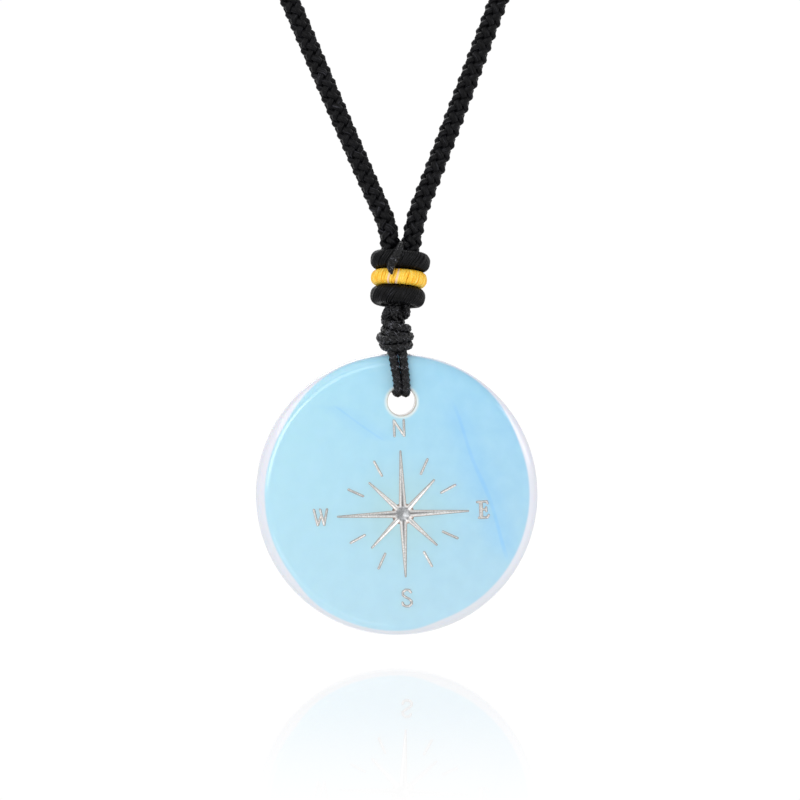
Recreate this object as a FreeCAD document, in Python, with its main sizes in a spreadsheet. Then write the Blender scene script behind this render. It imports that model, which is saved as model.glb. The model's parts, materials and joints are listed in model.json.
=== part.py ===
import FreeCAD, Part
import math
import os

import Sketcher

# A compass pendant on a braided neck cord, in millimetres. +Z is up and the wearer faces -Y.
# The origin is where the cord sits on the nape of the neck, so the pendant hangs low in front.
# The opal glass disc has a round hole near its rim. A thin cord goes through the hole and is
# knotted above it, and three thread-wound rings clamp that thin cord to the neck cord's ends.

# Driving dimensions: cell alias, value in millimetres or degrees, and what it is.
DRIVING_SIZES = [
    ("disc_radius", 15.0, "opal glass disc"),
    ("disc_thickness", 4.0, "face to face"),
    ("edge_round", 1.0, "rounding of the disc's rim, each side"),
    ("hole_radius", 1.5, "hanging hole"),
    ("hole_reach", 9.95, "disc centre to hole centre"),
    ("hole_chamfer", 0.2, "broken edge of the hole"),
    ("disc_lean", 2.7, "degrees that the disc hangs out of plumb"),
    ("hole_x", 3.0, "hole centre from the origin, to the wearer's left"),
    ("hole_y", -131.0, "hole centre from the origin, forwards"),
    ("hole_z", -208.5, "hole centre from the origin, down"),
    ("rose_x", 0.80, "compass rose centre from the disc centre"),
    ("rose_z", -2.04, "compass rose centre from the disc centre"),
    ("rose_turn", 5.1, "degrees that the rose is turned against the hole"),
    ("groove_depth", 0.35, "depth of every engraved mark"),
    ("inlay_sink", 0.05, "how far the paint lies below the face"),
    ("inlay_gap", 0.02, "gap between the paint and the groove's wall"),
    ("cutter_stand", 0.2, "how far a groove's cutter stands out of the face"),
    ("spike_long", 6.87, "rose centre to a main point's tip"),
    ("spike_short", 4.97, "rose centre to a diagonal point's tip"),
    ("spike_root", 0.60, "width of a point at the hub"),
    ("spike_tip", 0.24, "width of a point at its tip"),
    ("hub_radius", 0.84, "hub of the rose"),
    ("tick_inner", 4.63, "rose centre to a tick's near end"),
    ("tick_outer", 6.45, "rose centre to a tick's far end"),
    ("tick_width", 0.26, "width of a tick"),
    ("tick_angle", 26.5, "degrees from a tick to the nearest main point"),
    ("stroke_width", 0.29, "width of a letter's stroke"),
    ("reach_north", 9.15, "rose centre to the letter's middle"),
    ("reach_east", 8.52, "rose centre to the letter's middle"),
    ("reach_south", 9.0, "rose centre to the letter's middle"),
    ("reach_west", 8.83, "rose centre to the letter's middle"),
    ("neck_diameter", 2.1, "braided neck cord"),
    ("stack_x", -0.40, "foot of the ring stack from the hole centre"),
    ("stack_z", 10.14, "foot of the ring stack from the hole centre"),
    ("stack_nod", 9.0, "degrees that the ring stack leans back"),
    ("stack_tilt", 4.2, "degrees that the ring stack leans to +X"),
    ("ring_gap", 0.03, "between one ring and the next"),
    ("ring_round", 0.46, "outer rounding of a wound ring or knot turn, as a share of its height"),
    ("lower_width", 5.9, "over the lower ring"),
    ("lower_bore", 4.32, "across the lower ring's bore"),
    ("lower_height", 2.0, "lower ring"),
    ("middle_width", 6.0, "over the middle ring"),
    ("middle_bore", 4.32, "across the middle ring's bore"),
    ("middle_height", 1.75, "middle ring"),
    ("upper_width", 6.4, "over the upper ring"),
    ("upper_bore", 4.6, "across the upper ring's bore, where the cord's ends part"),
    ("upper_height", 2.0, "upper ring"),
    ("ring_bore_depth", 3.2, "front to back through a ring"),
    ("ring_depth", 5.2, "front to back over a ring"),
    ("hanger_diameter", 0.9, "thin cord through the hole"),
    ("tail_diameter", 0.84, "thin cord's ends inside the rings"),
    ("tail_reach", 1.13, "middle of the stack to a tail's centre"),
    ("tail_top", 5.0, "foot of the stack to the tails' upper ends"),
    ("tail_foot", -0.6, "foot of the stack to the tails' lower ends"),
]

WOUND_RINGS = ["lower", "middle", "upper"]  # from the knot up

# Turns of the knot from the lowest up, from the hole centre:
# name, x, z, width along X, depth along Y, height, degrees of tilt (positive is right side lower).
KNOT_TURNS = [
    ("knot_turn_low", -0.72, 6.08, 3.8, 5.0, 1.0, -4.0),
    ("knot_turn_high", -0.66, 6.95, 3.7, 4.2, 1.0, -7.0),
    ("knot_crossing", -0.70, 7.85, 3.3, 3.3, 1.1, 22.0),
    ("knot_bulge", -0.95, 8.75, 2.7, 3.1, 1.3, 12.0),
    ("knot_stem", -0.42, 9.55, 2.2, 3.15, 1.3, 4.2),
]

# One thin strand from the knot, down the disc's front, through the hole and up its back, from the
# hole centre: share of the way from the knot's spacing to the hole's, y, z, largest bend radius.
HANGER_ROUTE = [
    (0.0, -0.5, 6.60, None),
    (0.0, -2.08, 6.18, 0.8),
    (0.4, -2.63, 4.30, 4.0),
    (1.0, -2.50, 0.85, 0.8),
    (1.0, 2.50, 0.85, 0.8),
    (0.4, 2.63, 4.30, 4.0),
    (0.0, 2.08, 6.18, 0.8),
    (0.0, 0.5, 6.60, None),
]
# Where the left and right strands leave the knot and enter the hole, along X from the hole centre.
HANGER_STRANDS = [("left", -0.98, -0.475), ("right", 0.12, 0.475)]

# Route of the neck cord from the left end in the rings, over the nape, to the right end: x, y, z
# from the origin. The two long runs above the rings are the straight V that the weight pulls.
NECK_ROUTE = [
    (1.56, -130.95, -197.94),
    (2.05, -129.89, -191.29),
    (-19.9, -121.6, -138.9),
    (-41.5, -109.1, -89.0),
    (-59.5, -90.2, -47.0),
    (-68.8, -68.5, -24.5),
    (-69.5, -46.0, -13.0),
    (-60.0, -25.0, -6.0),
    (-43.0, -10.0, -2.0),
    (-22.0, -2.0, -0.5),
    (0.0, 1.05, 0.0),
    (22.0, -2.0, -0.5),
    (43.0, -10.0, -2.0),
    (60.0, -25.0, -6.0),
    (69.5, -46.0, -13.0),
    (69.3, -68.5, -24.5),
    (61.2, -90.2, -47.0),
    (43.9, -109.1, -89.0),
    (23.9, -121.6, -138.9),
    (4.26, -129.72, -190.36),
    (3.69, -130.95, -198.09),
]

# Letters as round-ended strokes, from the letter's middle: x and z of the start and of the end.
LETTER_STROKES = {
    "letter_n": [
        (-0.50, -0.82, -0.50, 0.82),
        (-0.50, 0.82, 0.54, -0.82),
        (0.54, -0.82, 0.54, 0.82),
    ],
    "letter_e": [
        (-0.29, -0.82, -0.29, 0.86),
        (-0.14, -0.82, -0.14, 0.86),
        (-0.60, 0.86, 0.42, 0.88),
        (0.42, 0.88, 0.50, 0.68),
        (-0.14, 0.05, 0.32, 0.05),
        (0.33, 0.24, 0.35, -0.14),
        (-0.46, -0.82, 0.42, -0.82),
        (0.42, -0.82, 0.58, -0.58),
    ],
    "letter_s": [
        (0.42, 0.60, 0.24, 0.84),
        (0.24, 0.84, -0.12, 0.87),
        (-0.12, 0.87, -0.42, 0.67),
        (-0.42, 0.67, -0.44, 0.36),
        (-0.44, 0.36, -0.18, 0.11),
        (-0.18, 0.11, 0.18, -0.08),
        (0.18, -0.08, 0.45, -0.34),
        (0.45, -0.34, 0.45, -0.64),
        (0.45, -0.64, 0.18, -0.87),
        (0.18, -0.87, -0.16, -0.88),
        (-0.16, -0.88, -0.42, -0.74),
        (-0.42, -0.74, -0.50, -0.48),
    ],
    "letter_w": [
        (-0.68, 0.80, -0.34, -0.82),
        (-0.34, -0.82, 0.04, 0.10),
        (-0.02, 0.80, 0.34, -0.82),
        (0.34, -0.82, 0.70, 0.80),
    ],
}
# Which way each letter lies from the rose's centre: node, degrees clockwise from north, reach cell.
LETTER_PLACES = [
    ("letter_n", 0.0, "reach_north"),
    ("letter_e", 90.0, "reach_east"),
    ("letter_s", 180.0, "reach_south"),
    ("letter_w", 270.0, "reach_west"),
]

SWEEP_SHARE = 0.45  # how much of its shorter run a bend's arc may take on each side
X_AXIS = FreeCAD.Vector(1, 0, 0)
Y_AXIS = FreeCAD.Vector(0, 1, 0)
Z_AXIS = FreeCAD.Vector(0, 0, 1)

doc = FreeCAD.newDocument("compass_pendant")
sheet = doc.addObject("Spreadsheet::Sheet", "Sizes")
sub_parts = []


def fill_sheet():
    """Writes each driving dimension to a row of its own: what it is, its value and its alias."""
    for row, (alias, value, meaning) in enumerate(DRIVING_SIZES, start=1):
        sheet.set(f"A{row}", meaning)
        sheet.set(f"B{row}", str(value))
        sheet.setAlias(f"B{row}", alias)
    doc.recompute()


def size(alias):
    """The value of one cell of the sheet."""
    return float(sheet.get(alias))


def bind(item, **cells):
    """Binds properties of a feature to expressions on the sheet."""
    for name, expression in cells.items():
        item.setExpression(name, expression)


def new_body(name, placement):
    body = doc.addObject("PartDesign::Body", name)
    body.Label = name
    body.Placement = placement
    return body


def new_sketch(body, name, plane, lift):
    """A sketch on one of the body's own origin planes, lifted along that plane's normal."""
    sketch = body.newObject("Sketcher::SketchObject", name)
    origin_plane = [f for f in body.Origin.OriginFeatures if f.Role == plane][0]
    sketch.AttachmentSupport = (origin_plane, [""])
    sketch.MapMode = "FlatFace"
    sketch.setExpression(".AttachmentOffset.Base.z", lift)
    return sketch


def place_point(sketch, geometry, point, across, up):
    """Ties a point of the sketch to the sketch's origin by its two distances."""
    for value, kind, axis in ((across, "DistanceX", -2), (up, "DistanceY", -1)):
        if abs(value) < 1e-6:
            sketch.addConstraint(Sketcher.Constraint("PointOnObject", geometry, point, axis))
        else:
            sketch.addConstraint(Sketcher.Constraint(kind, -1, 1, geometry, point, value))


def draw_circle(sketch, radius, centre=(0.0, 0.0)):
    middle = FreeCAD.Vector(centre[0], centre[1], 0)
    circle = sketch.addGeometry(Part.Circle(middle, Z_AXIS, size(radius)), False)
    place_point(sketch, circle, 3, *centre)
    rule = sketch.addConstraint(Sketcher.Constraint("Radius", circle, size(radius)))
    sketch.setExpression(f"Constraints[{rule}]", f"Sizes.{radius}")


def draw_slot(sketch, start, end, radius, expression):
    """A round-ended stroke between two points: two lines and two half circles, tangent."""
    start = FreeCAD.Vector(*start, 0)
    end = FreeCAD.Vector(*end, 0)
    heading = math.atan2(end.y - start.y, end.x - start.x)
    side = FreeCAD.Vector(-math.sin(heading), math.cos(heading), 0) * radius
    quarter = math.pi / 2
    end_circle = Part.Circle(end, Z_AXIS, radius)
    start_circle = Part.Circle(start, Z_AXIS, radius)
    upper = sketch.addGeometry(Part.LineSegment(start + side, end + side), False)
    end_cap = sketch.addGeometry(
        Part.ArcOfCircle(end_circle, heading - quarter, heading + quarter), False
    )
    lower = sketch.addGeometry(Part.LineSegment(end - side, start - side), False)
    start_cap = sketch.addGeometry(
        Part.ArcOfCircle(start_circle, heading + quarter, heading + 3 * quarter), False
    )
    for first, first_point, second, second_point in (
        (upper, 2, end_cap, 2),
        (end_cap, 1, lower, 1),
        (lower, 2, start_cap, 2),
        (start_cap, 1, upper, 1),
    ):
        sketch.addConstraint(
            Sketcher.Constraint("Tangent", first, first_point, second, second_point)
        )
    sketch.addConstraint(Sketcher.Constraint("Equal", end_cap, start_cap))
    rule = sketch.addConstraint(Sketcher.Constraint("Radius", end_cap, radius))
    sketch.setExpression(f"Constraints[{rule}]", expression)
    place_point(sketch, start_cap, 3, start.x, start.y)
    place_point(sketch, end_cap, 3, end.x, end.y)


def draw_polygon(sketch, corners):
    """A closed outline of straight lines through the corners, each corner tied in place."""
    lines = []
    for index, corner in enumerate(corners):
        following = corners[(index + 1) % len(corners)]
        segment = Part.LineSegment(FreeCAD.Vector(*corner, 0), FreeCAD.Vector(*following, 0))
        lines.append(sketch.addGeometry(segment, False))
    for index, line in enumerate(lines):
        following = lines[(index + 1) % len(lines)]
        sketch.addConstraint(Sketcher.Constraint("Coincident", line, 2, following, 1))
    for line, corner in zip(lines, corners):
        place_point(sketch, line, 1, *corner)


def add_pad(body, sketch, name, length):
    pad = body.newObject("PartDesign::Pad", name)
    pad.Profile = sketch
    bind(pad, Length=length)
    sketch.Visibility = False
    return pad


def add_pocket(body, sketch, name, length):
    pocket = body.newObject("PartDesign::Pocket", name)
    pocket.Profile = sketch
    bind(pocket, Length=length)
    return pocket


def round_edges(feature, radius):
    """Names of the feature's circular edges of this radius."""
    return [
        f"Edge{index}"
        for index, edge in enumerate(feature.Shape.Edges, start=1)
        if isinstance(edge.Curve, Part.Circle) and abs(edge.Curve.Radius - radius) < 1e-6
    ]


def level_edges(feature, height):
    """Names of the feature's edges that lie level at this height in the body's frame."""
    return [
        f"Edge{index}"
        for index, edge in enumerate(feature.Shape.Edges, start=1)
        if abs(edge.BoundBox.ZMin - height) < 1e-6 and abs(edge.BoundBox.ZMax - height) < 1e-6
    ]


def disc_placement():
    """The disc's own frame: its middle, with +Z towards the hole, which hangs on the hole."""
    hole = FreeCAD.Placement(
        FreeCAD.Vector(size("hole_x"), size("hole_y"), size("hole_z")),
        FreeCAD.Rotation(Y_AXIS, size("disc_lean")),
    )
    down = FreeCAD.Placement(FreeCAD.Vector(0, 0, -size("hole_reach")), FreeCAD.Rotation())
    return hole.multiply(down)


def rose_placement(turn=0.0):
    """The compass rose's frame on the disc, with +Z towards north, turned clockwise by turn."""
    rose = FreeCAD.Placement(
        FreeCAD.Vector(size("rose_x"), 0, size("rose_z")),
        FreeCAD.Rotation(Y_AXIS, turn - size("rose_turn")),
    )
    return disc_placement().multiply(rose)


def stack_placement(lift=0.0):
    """The ring stack's frame, which leans back and to the side along the cords inside it."""
    foot = FreeCAD.Vector(
        size("hole_x") + size("stack_x"), size("hole_y"), size("hole_z") + size("stack_z")
    )
    lean = FreeCAD.Rotation(Y_AXIS, size("stack_tilt")).multiply(
        FreeCAD.Rotation(X_AXIS, -size("stack_nod"))
    )
    raised = FreeCAD.Placement(FreeCAD.Vector(0, 0, lift), FreeCAD.Rotation())
    return FreeCAD.Placement(foot, lean).multiply(raised)


# A mark is cut into the front face to groove_depth. Its paint fills the groove from the floor to
# inlay_sink below the face. The two solids differ by the gap all round.
MARK_SOLIDS = {
    "groove": {"shrink": "0", "height": "Sizes.groove_depth + Sizes.cutter_stand"},
    "inlay": {"shrink": "Sizes.inlay_gap", "height": "Sizes.groove_depth - Sizes.inlay_sink"},
}
MARK_FLOOR = "Sizes.disc_thickness / 2 - Sizes.groove_depth"


def mark_body(node, role, placement, strokes, width):
    """One engraved mark as pads of round-ended strokes: its groove's cutter, or its paint."""
    body = new_body(node if role == "inlay" else f"{node}_groove", placement)
    radius = f"{width} / 2 - {MARK_SOLIDS[role]['shrink']}"
    radius_now = size(width.replace("Sizes.", "")) / 2
    radius_now -= size("inlay_gap") if role == "inlay" else 0.0
    for number, (start_x, start_z, end_x, end_z) in enumerate(strokes, start=1):
        sketch = new_sketch(body, f"{body.Name}_stroke{number}", "XZ_Plane", MARK_FLOOR)
        draw_slot(sketch, (start_x, start_z), (end_x, end_z), radius_now, radius)
        pad = add_pad(body, sketch, f"{body.Name}_pad{number}", MARK_SOLIDS[role]["height"])
        pad.Refine = False
    return body


def star_body(role):
    """The eight-pointed star: an octagonal hub, four long and four short tapering points."""
    body = new_body("rose_star" if role == "inlay" else "rose_star_groove", rose_placement())
    shrink = size("inlay_gap") if role == "inlay" else 0.0
    root = size("spike_root") / 2 - shrink
    tip = size("spike_tip") / 2 - shrink
    hub = size("hub_radius") - shrink
    corners = []
    for point in range(8):
        reach = size("spike_long") if point % 2 == 0 else size("spike_short")
        turn = math.radians(45.0 * point)
        root_out = math.sqrt(hub * hub - root * root)
        for across, out in ((-root, root_out), (-tip, reach - shrink), (tip, reach - shrink)):
            corners.append(
                (
                    across * math.cos(turn) + out * math.sin(turn),
                    out * math.cos(turn) - across * math.sin(turn),
                )
            )
    sketch = new_sketch(body, f"{body.Name}_outline", "XZ_Plane", MARK_FLOOR)
    draw_polygon(sketch, corners)
    add_pad(body, sketch, f"{body.Name}_pad", MARK_SOLIDS[role]["height"])
    return body


def build_marks():
    """Every engraved mark, as a list of groove cutters. The paint joins the sub-parts."""
    cutters = []
    for role in ("groove", "inlay"):
        made = [star_body(role)]
        for number in range(8):
            aside = size("tick_angle") if number % 2 == 0 else -size("tick_angle")
            place = rose_placement(90.0 * (number // 2) + aside)
            stroke = (0.0, size("tick_inner"), 0.0, size("tick_outer"))
            made.append(mark_body(f"tick_{number + 1}", role, place, [stroke], "Sizes.tick_width"))
        for node, bearing, reach in LETTER_PLACES:
            across = size(reach) * math.sin(math.radians(bearing))
            up = size(reach) * math.cos(math.radians(bearing))
            strokes = [
                (across + start_x, up + start_z, across + end_x, up + end_z)
                for start_x, start_z, end_x, end_z in LETTER_STROKES[node]
            ]
            made.append(mark_body(node, role, rose_placement(), strokes, "Sizes.stroke_width"))
        if role == "groove":
            cutters = made
        else:
            sub_parts.extend(made)
    return cutters


def build_disc(cutters):
    """The glass disc: rounded rim, hanging hole with a broken edge, and the engraved grooves."""
    body = new_body("opal_blank", disc_placement())
    outline = new_sketch(body, "disc_outline", "XZ_Plane", "-Sizes.disc_thickness / 2")
    draw_circle(outline, "disc_radius")
    pad = add_pad(body, outline, "disc_pad", "Sizes.disc_thickness")
    doc.recompute()
    rim = body.newObject("PartDesign::Fillet", "rim_round")
    rim.Base = (pad, round_edges(pad, size("disc_radius")))
    bind(rim, Radius="Sizes.edge_round")
    doc.recompute()
    hole = new_sketch(body, "hole_outline", "XZ_Plane", "Sizes.disc_thickness / 2")
    draw_circle(hole, "hole_radius", (0.0, size("hole_reach")))
    drilled = add_pocket(body, hole, "hole_pocket", "Sizes.disc_thickness")
    doc.recompute()
    broken = body.newObject("PartDesign::Chamfer", "hole_edge")
    broken.Base = (drilled, round_edges(drilled, size("hole_radius")))
    bind(broken, Size="Sizes.hole_chamfer")
    doc.recompute()
    grooves = doc.addObject("Part::MultiFuse", "grooves")
    grooves.Shapes = cutters
    disc = doc.addObject("Part::Cut", "opal_disc")
    disc.Label = "opal_disc"
    disc.Base = body
    disc.Tool = grooves
    sub_parts.append(disc)
    return disc


def flat_loop(sketch, width, depth):
    """Two half circles joined by straights, as wide and as deep as the two cells say."""
    half = size(width) / 2 - size(depth) / 2
    draw_slot(sketch, (-half, 0.0), (half, 0.0), size(depth) / 2, f"Sizes.{depth} / 2")


def build_wound_rings():
    """Three flattened rings, stacked on the cords with a small gap, rounded on the outside."""
    lift = 0.0
    for level in WOUND_RINGS:
        node = f"wrap_ring_{level}"
        height = size(f"{level}_height")
        body = new_body(node, stack_placement(lift))
        outline = new_sketch(body, f"{node}_outline", "XY_Plane", "0")
        flat_loop(outline, f"{level}_width", "ring_depth")
        pad = add_pad(body, outline, f"{node}_pad", f"Sizes.{level}_height")
        doc.recompute()
        crown = body.newObject("PartDesign::Fillet", f"{node}_round")
        crown.Base = (pad, level_edges(pad, 0.0) + level_edges(pad, height))
        bind(crown, Radius=f"Sizes.ring_round * Sizes.{level}_height")
        doc.recompute()
        bore = new_sketch(body, f"{node}_bore", "XY_Plane", f"Sizes.{level}_height")
        flat_loop(bore, f"{level}_bore", "ring_bore_depth")
        add_pocket(body, bore, f"{node}_pocket", f"Sizes.{level}_height")
        doc.recompute()
        sub_parts.append(body)
        lift += height + size("ring_gap")


def swept_tube(points, diameter, largest=None):
    """A round tube along straight runs joined by tangent arcs, and the arcs' radii."""
    points = [FreeCAD.Vector(*p) for p in points]
    largest = largest or [None] * len(points)
    edges = []
    radii = []
    here = points[0]
    for before, corner, after, limit in zip(points, points[1:], points[2:], largest[1:]):
        back = (before - corner).normalize()
        ahead = (after - corner).normalize()
        turn = math.pi - back.getAngle(ahead)
        shorter = min((before - corner).Length, (after - corner).Length)
        radius = SWEEP_SHARE * shorter / math.tan(turn / 2)
        radius = min(radius, limit) if limit else radius
        reach = radius * math.tan(turn / 2)
        bisector = (back + ahead).normalize()
        middle = corner + bisector * (radius / math.cos(turn / 2) - radius)
        edges.append(Part.LineSegment(here, corner + back * reach).toShape())
        edges.append(Part.Arc(corner + back * reach, middle, corner + ahead * reach).toShape())
        here = corner + ahead * reach
        radii.append(radius)
    edges.append(Part.LineSegment(here, points[-1]).toShape())
    path = Part.Wire(edges)
    start_heading = (points[1] - points[0]).normalize()
    section = Part.Wire(Part.Circle(points[0], start_heading, diameter / 2).toShape())
    tube = path.makePipeShell([section], True, False)
    expected = math.pi * diameter**2 / 4 * path.Length
    share = tube.Volume / expected
    return tube, path.Length, radii, share


def build_neck_cord():
    """The braided neck cord, one whole loop whose two ends stay in the rings."""
    tube, length, radii, share = swept_tube(NECK_ROUTE, size("neck_diameter"))
    cord = doc.addObject("Part::Feature", "neck_cord")
    cord.Label = "neck_cord"
    cord.Shape = tube
    sub_parts.append(cord)
    print(f"neck_cord: {length:.1f} mm long, volume {share:.4f} of section times length")
    print("neck_cord radii:", ", ".join(f"{r:.1f}" for r in radii))


def build_hanger():
    """The thin cord: two tails in the rings, the knot, and two strands through the hole."""
    hole = FreeCAD.Vector(size("hole_x"), size("hole_y"), size("hole_z"))
    pieces = []
    for side, knot_x, hole_x in HANGER_STRANDS:
        points = [
            (hole.x + knot_x + (hole_x - knot_x) * share, hole.y + y, hole.z + z)
            for share, y, z, _ in HANGER_ROUTE
        ]
        limits = [limit for _, _, _, limit in HANGER_ROUTE]
        tube, length, radii, share = swept_tube(points, size("hanger_diameter"), limits)
        strand = doc.addObject("Part::Feature", f"hanger_strand_{side}")
        strand.Shape = tube
        pieces.append(strand)
        print(f"hanger strand {side}: {length:.2f} mm long")
        print(f"hanger strand volume: {share:.4f} of section times length")
        print("hanger radii:", ", ".join(f"{r:.2f}" for r in radii))
    for name, x, z, width, depth, height, tilt in KNOT_TURNS:
        turn = FreeCAD.Rotation(Y_AXIS, tilt)
        base = hole + FreeCAD.Vector(x, 0, z) - turn.multVec(Z_AXIS) * (height / 2)
        body = new_body(name, FreeCAD.Placement(base, turn))
        outline = new_sketch(body, f"{name}_outline", "XY_Plane", "0")
        narrow = min(width, depth)
        half = (max(width, depth) - narrow) / 2
        ends = ((-half, 0.0), (half, 0.0)) if width > depth else ((0.0, -half), (0.0, half))
        if half < 1e-6:
            circle = outline.addGeometry(Part.Circle(FreeCAD.Vector(), Z_AXIS, narrow / 2), False)
            outline.addConstraint(Sketcher.Constraint("Coincident", circle, 3, -1, 1))
            outline.addConstraint(Sketcher.Constraint("Radius", circle, narrow / 2))
        else:
            draw_slot(outline, *ends, narrow / 2, f"{narrow / 2}")
        pad = add_pad(body, outline, f"{name}_pad", f"{height}")
        doc.recompute()
        rolled = body.newObject("PartDesign::Fillet", f"{name}_round")
        rolled.Base = (pad, level_edges(pad, 0.0) + level_edges(pad, height))
        bind(rolled, Radius=f"Sizes.ring_round * {height}")
        doc.recompute()
        pieces.append(body)
    for side in (-1, 1):
        tail = doc.addObject("Part::Cylinder", "tail_front" if side < 0 else "tail_back")
        bind(tail, Radius="Sizes.tail_diameter / 2", Height="Sizes.tail_top - Sizes.tail_foot")
        inside = FreeCAD.Placement(
            FreeCAD.Vector(0, side * size("tail_reach"), size("tail_foot")), FreeCAD.Rotation()
        )
        tail.Placement = stack_placement().multiply(inside)
        pieces.append(tail)
    hanger = doc.addObject("Part::MultiFuse", "hanger_cord")
    hanger.Label = "hanger_cord"
    hanger.Shapes = pieces
    sub_parts.append(hanger)


def check_objects():
    """Stops if an object of the document failed, or a sub-part's shape isn't one sound solid."""
    for item in doc.Objects:
        if "Invalid" in item.State or "Error" in item.State:
            raise RuntimeError(f"{item.Name} is {item.State}")
    for item in sub_parts:
        shape = item.Shape
        if shape.isNull() or not shape.isValid() or len(shape.Solids) != 1:
            raise RuntimeError(f"{item.Label} is not one valid solid")


def write_steps():
    os.makedirs("parts", exist_ok=True)
    for item in sub_parts:
        item.Shape.exportStep(f"parts/{item.Label}.step")
        print(f"{item.Label}: {item.Shape.Volume:.3f} mm3")


fill_sheet()
build_disc(build_marks())
build_wound_rings()
build_neck_cord()
build_hanger()
doc.recompute()
check_objects()
write_steps()
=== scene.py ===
import json
import math

import bmesh
import bpy
from mathutils import Matrix, Vector


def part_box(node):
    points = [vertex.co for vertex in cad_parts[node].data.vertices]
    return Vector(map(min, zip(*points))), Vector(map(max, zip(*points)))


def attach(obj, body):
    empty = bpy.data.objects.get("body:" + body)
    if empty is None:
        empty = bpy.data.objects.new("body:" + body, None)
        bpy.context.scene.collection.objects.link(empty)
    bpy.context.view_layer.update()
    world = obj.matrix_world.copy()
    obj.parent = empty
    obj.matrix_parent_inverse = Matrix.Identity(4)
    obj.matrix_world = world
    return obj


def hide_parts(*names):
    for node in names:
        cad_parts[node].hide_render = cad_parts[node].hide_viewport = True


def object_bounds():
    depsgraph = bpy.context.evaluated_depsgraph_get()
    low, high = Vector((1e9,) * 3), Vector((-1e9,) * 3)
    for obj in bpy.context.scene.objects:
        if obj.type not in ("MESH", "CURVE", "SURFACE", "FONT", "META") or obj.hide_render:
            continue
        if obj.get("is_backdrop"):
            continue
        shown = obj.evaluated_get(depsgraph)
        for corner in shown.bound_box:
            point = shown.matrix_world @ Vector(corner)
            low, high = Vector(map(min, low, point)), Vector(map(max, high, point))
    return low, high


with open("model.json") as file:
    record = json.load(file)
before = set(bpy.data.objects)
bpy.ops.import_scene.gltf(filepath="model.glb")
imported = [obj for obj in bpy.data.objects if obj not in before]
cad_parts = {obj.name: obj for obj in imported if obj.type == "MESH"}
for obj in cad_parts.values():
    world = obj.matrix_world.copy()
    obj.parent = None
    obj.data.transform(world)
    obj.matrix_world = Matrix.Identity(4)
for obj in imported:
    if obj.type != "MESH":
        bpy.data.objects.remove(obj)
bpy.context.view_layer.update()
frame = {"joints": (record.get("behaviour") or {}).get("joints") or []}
scene = bpy.context.scene
MM = 0.001

# The studio: a white table top with a faint polish, a bright white room, and soft light from the
# upper left. A long lens looks at the hole of the hanging disc, a little from its left and above.
hole = Vector(frame["joints"][0]["pos_m"])
VIEW_WIDTH = 85.3 * MM
CAMERA_AWAY = 450 * MM
CAMERA_AZIMUTH = math.radians(-2.5)
CAMERA_ELEVATION = math.radians(2.0)
FRAME_SHIFT = Vector((-0.1, 0.0, 0.1)) * MM

camera_data = bpy.data.cameras.new("camera")
camera_data.sensor_width = 36.0
camera_data.lens = camera_data.sensor_width * CAMERA_AWAY / VIEW_WIDTH
camera_data.clip_start = 0.01
camera_data.clip_end = 10.0
camera = bpy.data.objects.new("camera", camera_data)
scene.collection.objects.link(camera)
look_back = Vector((
    math.sin(CAMERA_AZIMUTH) * math.cos(CAMERA_ELEVATION),
    -math.cos(CAMERA_AZIMUTH) * math.cos(CAMERA_ELEVATION),
    math.sin(CAMERA_ELEVATION),
))
camera.location = hole + FRAME_SHIFT + look_back * CAMERA_AWAY
camera.rotation_mode = "QUATERNION"
camera.rotation_quaternion = (-look_back).to_track_quat("-Z", "Y")
scene.camera = camera
scene.view_settings.view_transform = "Standard"


def add(tree, kind, inputs=None, **settings):
    """Adds a node to the tree with its settings. An input is given a value or another node's output."""
    made = tree.nodes.new(kind)
    for name, value in settings.items():
        setattr(made, name, value)
    for key, value in (inputs or {}).items():
        if isinstance(value, bpy.types.NodeSocket):
            tree.links.new(value, made.inputs[key])
        else:
            made.inputs[key].default_value = value
    return made


def linear(hex_colour):
    """Linear red, green, blue and alpha of an sRGB hex colour."""
    parts = [int(hex_colour[i:i + 2], 16) / 255 for i in (1, 3, 5)]
    return [c / 12.92 if c <= 0.04045 else ((c + 0.055) / 1.055) ** 2.4 for c in parts] + [1.0]


def ramp(tree, value, low, high, at_low=0.0, at_high=1.0, ease="LINEAR"):
    """The value, held between low and high and carried over to the range from at_low to at_high."""
    inputs = {"Value": value, "From Min": low, "From Max": high, "To Min": at_low, "To Max": at_high}
    return add(tree, "ShaderNodeMapRange", inputs, interpolation_type=ease).outputs[0]


def new_material(name):
    """A material that has no nodes yet, and its tree."""
    made = bpy.data.materials.new(name)
    made.use_nodes = True
    made.node_tree.nodes.clear()
    return made, made.node_tree


ROOM_LIGHT = 0.415
# White that is to stay white in the picture needs a little more than full strength.
SEEN_WHITE = 1.02
room = bpy.data.worlds.new("white_room")
room.use_nodes = True
room.node_tree.nodes.clear()
seen = add(room.node_tree, "ShaderNodeBackground", {"Color": linear("#FFFFFF"), "Strength": SEEN_WHITE})
lit = add(room.node_tree, "ShaderNodeBackground", {"Color": linear("#FAFCFF"), "Strength": ROOM_LIGHT})
ray = add(room.node_tree, "ShaderNodeLightPath")
both = add(room.node_tree, "ShaderNodeMixShader", {
    0: ray.outputs["Is Diffuse Ray"], 1: seen.outputs[0], 2: lit.outputs[0],
})
add(room.node_tree, "ShaderNodeOutputWorld", {"Surface": both.outputs[0]})
scene.world = room

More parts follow.
